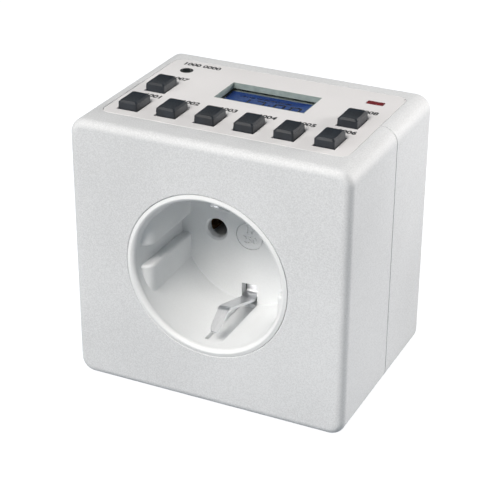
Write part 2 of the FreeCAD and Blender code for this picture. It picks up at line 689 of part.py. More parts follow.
def socket_insert():
    # Cup with pads, pin holes, earth channels, a round groove in its floor and the chambers behind it.
    cup = fuse_all([insert_blank()] + pads())
    for wall, room in zip(*contact_chambers()):
        cup = cup.fuse(wall).cut(room)
    for x in (-BOARD_REST, BOARD_REST):
        for z in (AXIS_Z - BOARD_REST, AXIS_Z + BOARD_REST):
            cup = cup.fuse(rod(BOARD_REST_RADIUS, FLOOR_BACK - 0.2, MAIN_BOARD_DEPTH, x, z))
    for side in (-1, 1):
        x = side * PIN_SPACING / 2
        cup = cup.cut(rod(PIN_HOLE_RADIUS, WELL_DEPTH - BEYOND, FLOOR_BACK + BEYOND, x, AXIS_Z))
        cup = cup.cut(Part.makeCone(PIN_HOLE_RADIUS + HOLE_CHAMFER, PIN_HOLE_RADIUS, HOLE_CHAMFER,
                                    Vector(x, at(WELL_DEPTH), AXIS_Z), Vector(0, 1, 0)))
        z0, z1 = span(side, CHANNEL_INNER, CHANNEL_RADIUS)
        cup = cup.cut(block(-CHANNEL_HALF, CHANNEL_HALF, CHANNEL_START, WELL_DEPTH, AXIS_Z + z0, AXIS_Z + z1))
        z0, z1 = span(side, SLOT_INNER, WELL_FLOOR_RADIUS + SLIP)
        cup = cup.cut(block(-SLOT_HALF, SLOT_HALF, WELL_DEPTH - BEYOND, FLOOR_BACK + BEYOND,
                            AXIS_Z + z0, AXIS_Z + z1))
    groove = rod(CENTRE_DISC_RADIUS, WELL_DEPTH - BEYOND, WELL_DEPTH + DISC_GROOVE, 0, AXIS_Z)
    groove = groove.cut(rod(CENTRE_DISC_RADIUS - DISC_GROOVE, WELL_DEPTH - 2 * BEYOND, FLOOR_BACK, 0, AXIS_Z))
    return cup.cut(groove).removeSplitter()


def clip_plan():
    # Outline of the earth strip seen from above: even width at the root, tapering to a round tip.
    tip = CLIP_TIP[0]
    half = STRIP_WIDTH / 2
    taper_end = WELL_DEPTH - 4.0
    behind = FLOOR_BACK + 5.0
    right = [Vector(CLIP_TIP_HALF, at(tip + CLIP_TIP_HALF), 0), Vector(half, at(taper_end), 0),
             Vector(half, at(behind), 0)]
    left = [Vector(-p.x, p.y, 0) for p in reversed(right)]
    side = right + left
    edges = [Part.LineSegment(a, b).toShape() for a, b in zip(side, side[1:])]
    edges.append(Part.Arc(side[-1], Vector(0, at(tip), 0), side[0]).toShape())
    return Part.Face(Part.Wire(edges))


def earth_bracket():
    # One strip: both spring arms in the well, joined behind its floor.
    arm = [CLIP_TIP, CLIP_KNEE, (WELL_DEPTH - 1.0, CLIP_ROOT_RADIUS), (FLOOR_BACK, CLIP_ROOT_RADIUS)]
    lower = [Vector(0, at(d), AXIS_Z - r) for d, r in arm]
    upper = [Vector(0, at(d), AXIS_Z + r) for d, r in reversed(arm)]
    bracket = strip(lower + upper, CLIP_BENDS + CLIP_BENDS[::-1], STRIP_THICKNESS, STRIP_WIDTH, (1, 0, 0))
    return bracket.common(clip_plan().extrude(Vector(0, 0, CASE_HEIGHT)))


def spring_contact(side):
    # Folded spring receptacle that grips one pin from both sides.
    x = side * PIN_SPACING / 2
    start = FLOOR_BACK + 0.3
    grip = PLUG_PIN_RADIUS + 0.15
    depths = [(start, grip + 0.45), (start + 3, grip), (start + 9, grip), (CONTACT_BACK, grip + 0.35)]
    right = [Vector(x + reach, at(d), AXIS_Z) for d, reach in depths]
    left = [Vector(x - reach, at(d), AXIS_Z) for d, reach in reversed(depths)]
    return strip(right + left, 0.5, CONTACT_THICKNESS, CONTACT_WIDTH, (0, 0, 1))


def plug_pin(side):
    # Round-nosed pin, its seat in the plug's face, the collar behind that and a thin tail.
    x = side * PIN_SPACING / 2
    collar_end = BOSS_END - BOSS_FACE
    collar_start = collar_end - PIN_COLLAR_THICKNESS
    shaft = rod(PLUG_PIN_RADIUS, BOSS_END, BOSS_END + PLUG_PIN_LENGTH, x, AXIS_Z)
    shaft = shaft.makeFillet(PIN_NOSE_RADIUS, ring_edges(shaft, BOSS_END + PLUG_PIN_LENGTH))
    seat = rod(PIN_SEAT_RADIUS, collar_end, BOSS_END, x, AXIS_Z)
    collar = rod(PIN_COLLAR_RADIUS, collar_start, collar_end, x, AXIS_Z)
    tail = rod(PIN_TAIL_RADIUS, PIN_TAIL, collar_start, x, AXIS_Z)
    return fuse_all([shaft, seat, collar, tail])


def pin_carrier():
    # Plate inside the plug body that backs both pin collars.
    end = BOSS_END - BOSS_FACE - PIN_COLLAR_THICKNESS
    start = end - CARRIER_THICKNESS
    plate = boss_section(BOSS_WALL + SLIP, start, end)
    for side in (-1, 1):
        plate = plate.cut(rod(PIN_TAIL_RADIUS + SLIP / 2, start - BEYOND, end + BEYOND,
                              side * PIN_SPACING / 2, AXIS_Z))
    return plate


def plug_earth_bracket():
    # Curved leaves in the plug body's top and bottom pockets, joined by a web through its middle.
    outside = BOSS_RADIUS - EARTH_LEAF_INSET
    tube = rod(outside, EARTH_LEAF_START, EARTH_LEAF_END, 0, AXIS_Z)
    tube = tube.cut(rod(outside - EARTH_LEAF_THICKNESS, EARTH_LEAF_START - BEYOND, EARTH_LEAF_END + BEYOND,
                        0, AXIS_Z))
    leaves = []
    for side in (-1, 1):
        z0, z1 = span(side, 0, BOSS_RADIUS)
        leaves.append(tube.common(block(-EARTH_LEAF_HALF, EARTH_LEAF_HALF, EARTH_LEAF_START, EARTH_LEAF_END,
                                        AXIS_Z + z0, AXIS_Z + z1)))
    reach = outside - EARTH_LEAF_THICKNESS / 2
    web = block(-EARTH_WEB_HALF, EARTH_WEB_HALF, EARTH_WEB_DEPTH, EARTH_WEB_DEPTH + EARTH_LEAF_THICKNESS,
                AXIS_Z - reach, AXIS_Z + reach)
    return fuse_all(leaves + [web])


def earth_link():
    # Strap from the socket's earth bracket back to the plug's.
    start = FLOOR_BACK + 2 * STRIP_THICKNESS
    points = [Vector(0, at(start), AXIS_Z + 4), Vector(0, at(start), AXIS_Z),
              Vector(0, at(EARTH_WEB_DEPTH), AXIS_Z), Vector(0, at(EARTH_WEB_DEPTH), AXIS_Z - 4)]
    return strip(points, 0.8, STRIP_THICKNESS, STRIP_WIDTH, (1, 0, 0))


def neutral_strap():
    # Flat bar from the neutral contact to the neutral pin's tail.
    x = PIN_SPACING / 2
    half_width = 2.0
    half_thickness = 0.4
    return block(x - half_width, x + half_width, CONTACT_BACK + 2 * half_thickness, PIN_TAIL,
                 AXIS_Z - half_thickness, AXIS_Z + half_thickness)


def main_board():
    # Board with a window for the contact chambers.
    board = rounded_prism(-MAIN_BOARD_HALF, MAIN_BOARD_HALF, MAIN_BOARD_DEPTH, MAIN_BOARD_BACK,
                          *MAIN_BOARD_SPAN, 1.5, (0, 1, 0))
    half_x, half_z = BOARD_WINDOW_HALF
    return board.cut(block(-half_x, half_x, MAIN_BOARD_DEPTH - BEYOND, MAIN_BOARD_BACK + BEYOND,
                           AXIS_Z - half_z, AXIS_Z + half_z))


def relay_parts():
    # Base, hollow cover, coil on its bobbin, core, and the yoke and armature that close the magnet.
    x0, x1 = RELAY_X
    z0, z1 = RELAY_Z
    seat = MAIN_BOARD_DEPTH - RELAY_BASE
    base = block(x0, x1, seat, MAIN_BOARD_DEPTH, z0, z1)
    cover = rounded_prism(x0, x1, RELAY_FRONT, seat, z0, z1, 0.6, (0, 1, 0))
    cover = cover.cut(block(x0 + RELAY_WALL, x1 - RELAY_WALL, RELAY_FRONT + RELAY_WALL, MAIN_BOARD_DEPTH,
                            z0 + RELAY_WALL, z1 - RELAY_WALL))
    x = (x0 + x1) / 2
    z = z0 + COIL_CENTRE_HEIGHT
    front = seat - COIL_LENGTH
    cheek = 1.0
    cheeks = rod(BOBBIN_RADIUS, seat - cheek, seat, x, z).fuse(rod(BOBBIN_RADIUS, front, front + cheek, x, z))
    coil = fuse_all([cheeks, rod(COIL_RADIUS, front + cheek / 2, seat - cheek / 2, x, z)])
    coil = coil.cut(rod(CORE_RADIUS + SLIP / 2, front - BEYOND, seat + BEYOND, x, z))
    pole = front - 0.4
    core = rod(CORE_RADIUS, pole, seat, x, z)
    half_width = 3.5
    yoke = block(x - half_width, x + half_width, pole, seat, z + 4.6, z + 5.8)
    armature = block(x - half_width, x + half_width, pole - 1.5, pole - 0.5, z - 2.5, z + 6.2)
    return base, cover, coil, core, yoke, armature


def film_capacitor():
    shape = block(-RELAY_X[1], -RELAY_X[0], CAPACITOR_FRONT, MAIN_BOARD_DEPTH, RELAY_Z[0], RELAY_Z[1] - 0.2)
    return shape.makeFillet(0.8, shape.Edges)


def rear_components():
    # Backup cell, filter capacitor and varistor on the rear side of the main board.
    foot = MAIN_BOARD_BACK
    round_cans = []
    for (radius, length), x in ((CELL_SIZE, -12.0), (CAN_SIZE, 12.0)):
        can = rod(radius, foot, foot + length, x, 50.0)
        round_cans.append(can.makeFillet(0.6, ring_edges(can, foot + length)))
    radius, thickness = VARISTOR_SIZE
    disc = Part.makeCylinder(radius, thickness, Vector(-20, at(foot + radius), 20), Vector(1, 0, 0))
    return round_cans + [disc.makeFillet(1.0, disc.Edges)]


def ribbon_cable():
    # Flat cable from under the display board to the rear side of the main board.
    away = MAIN_BOARD_BACK + 4.5
    level = 56.5
    points = [Vector(0, at(MAIN_BOARD_BACK), level), Vector(0, at(away), level),
              Vector(0, at(away), DISPLAY_BOARD_UNDER)]
    return strip(points, 1.6, 0.8, 7.0, (1, 0, 0))


def wire(points):
    # Insulated wire swept along straight runs and bends.
    path = bent_path(points, WIRE_BEND)
    start = path.Edges[0]
    direction = start.tangentAt(start.FirstParameter)
    circle = Part.Wire(Part.makeCircle(WIRE_RADIUS, points[0], direction))
    return path.makePipeShell([circle], True, False)


def live_wires():
    # From the live pin's tail to the board, and from the board to the live contact.
    x = -PIN_SPACING / 2
    rear = MAIN_BOARD_BACK
    incoming = [Vector(x, at(PIN_TAIL), AXIS_Z), Vector(x, at(49), AXIS_Z),
                Vector(x, at(49), 12), Vector(x + 6, at(44), 12), Vector(x + 6, at(rear), 12)]
    joint = CONTACT_BACK + 1.45
    outgoing = [Vector(x, at(joint), AXIS_Z - 1.2), Vector(x, at(joint), 24),
                Vector(x + 12, at(40), 24), Vector(x + 12, at(rear), 24)]
    return wire(incoming), wire(outgoing)


def build():
    save("front_housing", front_housing())
    save("rear_housing", rear_housing())
    save("plug_body", plug_body())
    save("housing_screws", group([housing_screw(x, z) for x, z in SCREW_PLACES]))
    save("top_panel", top_panel())
    save("display_window", display_window())
    save("lcd_panel", lcd_panel())
    save("lcd_frame", lcd_frame())
    save("lcd_contact_strips", contact_strips())
    save("display_board", display_board())
    save("board_screws", board_screws())
    places = key_places()
    save("tact_switch_bodies", group([tact_body(x, d) for x, d in places + [(RESET_X, RESET_DEPTH)]]))
    for number, (x, depth) in enumerate(places, 1):
        save("key_%d" % number, key(x, depth))
        save("switch_plunger_%d" % number, tact_plunger(x, depth))
    save("reset_plunger", reset_plunger())
    save("status_led", status_led())
    chip, crystal = under_display_board()
    save("controller_chip", chip)
    save("quartz_crystal", crystal)
    save("socket_insert", socket_insert())
    save("socket_earth_bracket", earth_bracket())
    save("live_contact", spring_contact(-1))
    save("neutral_contact", spring_contact(1))
    save("live_plug_pin", plug_pin(-1))
    save("neutral_plug_pin", plug_pin(1))
    save("pin_carrier", pin_carrier())
    save("plug_earth_bracket", plug_earth_bracket())
    save("earth_link", earth_link())
    save("neutral_strap", neutral_strap())
    save("main_board", main_board())
    names = ("relay_base", "relay_cover", "relay_coil", "relay_core", "relay_yoke", "relay_armature")
    for name, shape in zip(names, relay_parts()):
        save(name, shape)
    save("film_capacitor", film_capacitor())
    cell, can, disc = rear_components()
    save("backup_cell", cell)
    save("filter_capacitor", can)
    save("surge_varistor", disc)
    save("ribbon_cable", ribbon_cable())
    incoming, outgoing = live_wires()
    save("live_wire_in", incoming)
    save("live_wire_out", outgoing)


build()
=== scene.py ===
import json
import math

import bpy
from mathutils import Matrix, Vector


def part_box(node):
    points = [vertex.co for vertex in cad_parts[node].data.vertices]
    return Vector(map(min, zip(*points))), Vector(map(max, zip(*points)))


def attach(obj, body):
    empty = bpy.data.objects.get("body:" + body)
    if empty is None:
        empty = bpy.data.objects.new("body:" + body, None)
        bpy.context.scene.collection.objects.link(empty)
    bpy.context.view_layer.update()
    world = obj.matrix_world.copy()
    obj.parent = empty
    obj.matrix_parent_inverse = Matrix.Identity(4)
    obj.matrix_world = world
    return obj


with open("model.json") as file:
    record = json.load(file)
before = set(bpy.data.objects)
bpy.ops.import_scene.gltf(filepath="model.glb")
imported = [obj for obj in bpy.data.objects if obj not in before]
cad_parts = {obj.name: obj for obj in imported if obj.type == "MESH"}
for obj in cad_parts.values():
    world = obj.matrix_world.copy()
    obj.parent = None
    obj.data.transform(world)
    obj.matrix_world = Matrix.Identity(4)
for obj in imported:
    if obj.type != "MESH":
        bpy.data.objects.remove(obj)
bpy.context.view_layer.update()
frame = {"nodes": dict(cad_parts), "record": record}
scene = bpy.context.scene
scene.view_settings.view_transform = "Standard"
mm = 0.001
white = "FFFFFF"
print("frame loaded:", len(frame["nodes"]), "nodes")


def hexToLinear(hexColor):
    # sRGB hex to the linear colour that a shader socket takes
    values = []
    for start in (0, 2, 4):
        level = int(hexColor[start:start + 2], 16) / 255
        values.append(level / 12.92 if level <= 0.04045 else ((level + 0.055) / 1.055) ** 2.4)
    return (*values, 1.0)


def perMetre(sizeMm):
    # pattern scale that gives features of this size in millimetres
    return 1 / (sizeMm * mm)


def directionTo(turn, height):
    # from the part to a place at this turn from the front and this height, both in degrees
    turn, height = math.radians(turn), math.radians(height)
    return Vector((math.sin(turn) * math.cos(height), -math.cos(turn) * math.cos(height), math.sin(height)))


def addNode(tree, kind, settings=None, links=None):
    # one node with its settings; links names the output that feeds each input
    node = tree.nodes.new(kind)
    for key, value in (settings or {}).items():
        if isinstance(key, int) or key in node.inputs:
            node.inputs[key].default_value = value
        else:
            setattr(node, key, value)
    for key, source in (links or {}).items():
        tree.links.new(source, node.inputs[key])
    return node


# Every surface has a fine grain and a soft cloud of shade over the whole piece

pattern = {
    "grainDetail": 3.0, "grainRoughness": 0.6,
    "cloudDetail": 2.0, "cloudRoughness": 0.5,
    "grainShare": 0.5,  # how strongly the grain counts in the colour, beside the cloud
    "swing": 0.3,  # the mixed noise goes from dark to light within this of its middle
    "glossFrom": 0.3, "glossTo": 0.7,  # the part of the grain's range that changes the roughness
}


def surfaceMaterial(look):
    material = bpy.data.materials.new(look["name"])
    material.use_nodes = True
    tree = material.node_tree
    tree.nodes.clear()
    place = addNode(tree, "ShaderNodeTexCoord").outputs["Object"]
    if "stretch" in look:
        place = addNode(tree, "ShaderNodeMapping", {"Scale": look["stretch"]}, {"Vector": place}).outputs[0]
    grain = addNode(tree, "ShaderNodeTexNoise",
                    {"Scale": perMetre(look["grainMm"]), "Detail": pattern["grainDetail"],
                     "Roughness": pattern["grainRoughness"]}, {"Vector": place}).outputs["Fac"]
    cloud = addNode(tree, "ShaderNodeTexNoise",
                    {"Scale": perMetre(look["cloudMm"]), "Detail": pattern["cloudDetail"],
                     "Roughness": pattern["cloudRoughness"]}, {"Vector": place}).outputs["Fac"]
    share = look.get("grainShare", pattern["grainShare"])
    mixed = addNode(tree, "ShaderNodeMath", {"operation": "MULTIPLY_ADD", 1: share},
                    {0: grain, 2: cloud}).outputs[0]
    middle = 0.5 + 0.5 * share  # each noise is 0.5 on average
    shade = addNode(tree, "ShaderNodeMapRange",
                    {"From Min": middle - pattern["swing"], "From Max": middle + pattern["swing"],
                     "To Min": 0.0, "To Max": 1.0}, {"Value": mixed}).outputs[0]
    color = addNode(tree, "ShaderNodeMix",  # sockets 6, 7 and output 2 are its colours
                    {"data_type": "RGBA", 6: hexToLinear(look["dark"]), 7: hexToLinear(look["light"])},
                    {0: shade}).outputs[2]
    rough = addNode(tree, "ShaderNodeMapRange",
                    {"From Min": pattern["glossFrom"], "From Max": pattern["glossTo"],
                     "To Min": look["roughness"] - look["roughVary"],
                     "To Max": look["roughness"] + look["roughVary"]}, {"Value": grain}).outputs[0]
    bump = addNode(tree, "ShaderNodeBump", {"Strength": look["bump"], "Distance": look["bumpMm"] * mm},
                   {"Height": grain}).outputs[0]
    shader = addNode(tree, "ShaderNodeBsdfPrincipled", look.get("shader"),
                     {"Base Color": color, "Roughness": rough, "Normal": bump})
    addNode(tree, "ShaderNodeOutputMaterial", {}, {"Surface": shader.outputs[0]})
    return material


def seenDirectly(tree, mirrored=None):
    # 1 for rays straight from the camera or through a clear pane, and for reflections, which can be dimmed
    path = addNode(tree, "ShaderNodeLightPath")
    straight = addNode(tree, "ShaderNodeMath", {"operation": "MAXIMUM"},
                       {0: path.outputs["Is Camera Ray"], 1: path.outputs["Is Transmission Ray"]}).outputs[0]
    glossy = path.outputs["Is Glossy Ray"]
    if mirrored:
        glossy = addNode(tree, "ShaderNodeMath", {"operation": "MULTIPLY"},
                         {0: glossy, 1: mirrored}).outputs[0]
    return addNode(tree, "ShaderNodeMath", {"operation": "MAXIMUM"}, {0: straight, 1: glossy}).outputs[0]


# Camera

camera = {
    "azimuth": 25.2022, "elevation": 27.1408, "roll": 0.4247,  # degrees
    "distance": 426.2, "right": -8.26, "up": 20.36,  # mm from the frame's origin, along the camera's axes
    "lens": 111.09, "sensor": 36.0,  # mm
    "nearest": 0.01,  # m
}


def makeCamera(camera):
    azimuth, roll = math.radians(camera["azimuth"]), math.radians(camera["roll"])
    back = directionTo(camera["azimuth"], camera["elevation"])
    level = Vector((math.cos(azimuth), math.sin(azimuth), 0))
    upright = back.cross(level)
    right = level * math.cos(roll) + upright * math.sin(roll)
    up = upright * math.cos(roll) - level * math.sin(roll)
    data = bpy.data.cameras.new("camera")
    data.lens = camera["lens"]
    data.sensor_width = camera["sensor"]
    data.clip_start = camera["nearest"]
    viewer = bpy.data.objects.new("camera", data)
    scene.collection.objects.link(viewer)
    spot = (right * camera["right"] + up * camera["up"] + back * camera["distance"]) * mm
    turn = Matrix((right, up, back)).transposed().to_4x4()
    viewer.matrix_world = Matrix.Translation(spot) @ turn
    scene.camera = viewer


makeCamera(camera)
print("camera placed")

# World: a dim sky lights the part, and what looks past the part sees a white backdrop

sky = {
    "color": "DAEBF5", "strength": 0.13,
    "backdropTop": (0.1, 0.3), "ceiling": 0.0,  # reflections lose the backdrop between these heights
}


def makeSky(sky):
    world = bpy.data.worlds.new("studio")
    scene.world = world
    world.use_nodes = True
    tree = world.node_tree
    tree.nodes.clear()
    soft = addNode(tree, "ShaderNodeBackground",
                   {"Color": hexToLinear(sky["color"]), "Strength": sky["strength"]})
    bright = addNode(tree, "ShaderNodeBackground", {"Color": hexToLinear(white), "Strength": 1.0})
    direction = addNode(tree, "ShaderNodeTexCoord").outputs["Generated"]
    height = addNode(tree, "ShaderNodeSeparateXYZ", {}, {0: direction}).outputs["Z"]
    # the white backdrop ends in the room's dim ceiling, which is what level surfaces mirror
    backdrop = addNode(tree, "ShaderNodeMapRange",
                       {"From Min": sky["backdropTop"][0], "From Max": sky["backdropTop"][1], "To Min": 1.0,
                        "To Max": sky["ceiling"]}, {"Value": height}).outputs[0]
    both = addNode(tree, "ShaderNodeMixShader", {},
                   {0: seenDirectly(tree, backdrop), 1: soft.outputs[0], 2: bright.outputs[0]})
    addNode(tree, "ShaderNodeOutputWorld", {}, {"Surface": both.outputs[0]})


makeSky(sky)

# Lamps

lamps = {
    "softboxes": [
        # name, turn from the front and height in degrees, distance and size in m, level on white, colour
        ("frontTopSoftbox", -9, 48, 0.75, 0.36, 1.0, "FFFAF5"),
        ("leftSoftbox", -42, 24, 1.5, 0.45, 0.2, "FFFFFF"),
        ("rearRightSoftbox", 131, 14, 0.45, 0.18, 0.88, "FFFAF6"),
    ],
    "aim": (0, -0.02, 0.035),  # m
}


def makeLamps(lamps):
    for name, turn, height, distance, size, level, color in lamps["softboxes"]:
        away = directionTo(turn, height)
        data = bpy.data.lights.new(name, "AREA")
        data.shape = "SQUARE"
        data.size = size
        data.energy = level * (math.pi * distance) ** 2  # a white face square to the lamp shows this level
        data.color = hexToLinear(color)[:3]
        lamp = bpy.data.objects.new(name, data)
        lamp.location = Vector(lamps["aim"]) + away * distance
        lamp.rotation_euler = away.to_track_quat("Z", "Y").to_euler()
        scene.collection.objects.link(lamp)


makeLamps(lamps)

# Floor: grey to the light, so that little bounces back, and lifted to white for what looks at it

floorBoard = {"size": 6.0, "color": "8A9096", "lift": 0.9}


def makeFloor(board):
    bpy.ops.mesh.primitive_plane_add(size=board["size"], location=(0, 0, 0))
    floor = bpy.context.object
    floor.name = "floor"
    paint = bpy.data.materials.new("paintedBoard")
    paint.use_nodes = True
    tree = paint.node_tree
    tree.nodes.clear()
    diffuse = addNode(tree, "ShaderNodeBsdfDiffuse", {"Color": hexToLinear(board["color"])})
    level = addNode(tree, "ShaderNodeMath", {"operation": "MULTIPLY", 1: board["lift"]},
                    {0: seenDirectly(tree)}).outputs[0]
    glow = addNode(tree, "ShaderNodeEmission", {"Color": hexToLinear(white)}, {"Strength": level})
    total = addNode(tree, "ShaderNodeAddShader", {}, {0: diffuse.outputs[0], 1: glow.outputs[0]})
    addNode(tree, "ShaderNodeOutputMaterial", {}, {"Surface": total.outputs[0]})
    floor.data.materials.append(paint)


makeFloor(floorBoard)
print("light and floor ready")

# Materials of the CAD nodes, by the record's material slot

